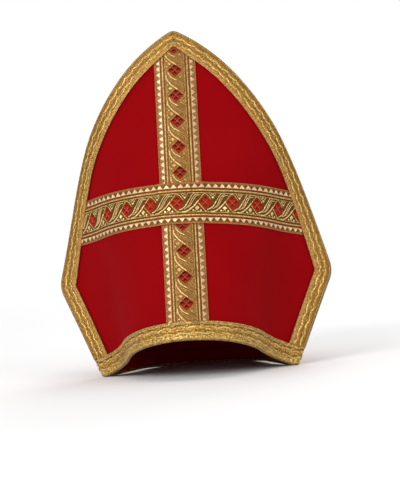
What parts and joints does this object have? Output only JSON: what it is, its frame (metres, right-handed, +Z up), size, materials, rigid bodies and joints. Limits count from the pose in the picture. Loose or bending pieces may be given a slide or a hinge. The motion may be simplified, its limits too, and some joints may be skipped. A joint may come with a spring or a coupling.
{
  "type": "bishop mitre",
  "caption": "Tall pointed hat of two stiff curved faces joined at the sides by a folded gusset, edged with braid and crossed with ribbon.",
  "frame": {"origin": "centre of the bounding box at floor level, where the resting hat meets the surface", "axes": "+Z up, -Y towards the front face, +X towards the image's right seen from the front; the hat leans back as it rests"},
  "size_m": [0.2996, 0.2866, 0.3659],
  "materials": {
    "felt": "matt short nap",
    "gusset_cloth": "matt",
    "braid": "metallic thread",
    "ribbon": "metallic thread"
  },
  "bodies": {
    "root": {"front_panel": "felt", "back_panel": "felt", "crown_gusset": "gusset_cloth", "rim_braid": "braid", "front_edge_braid": "braid", "back_edge_braid": "braid", "front_cross_upright": "ribbon", "front_cross_bar": "ribbon", "back_cross_upright": "ribbon", "back_cross_bar": "ribbon"}
  },
  "joints": []
}
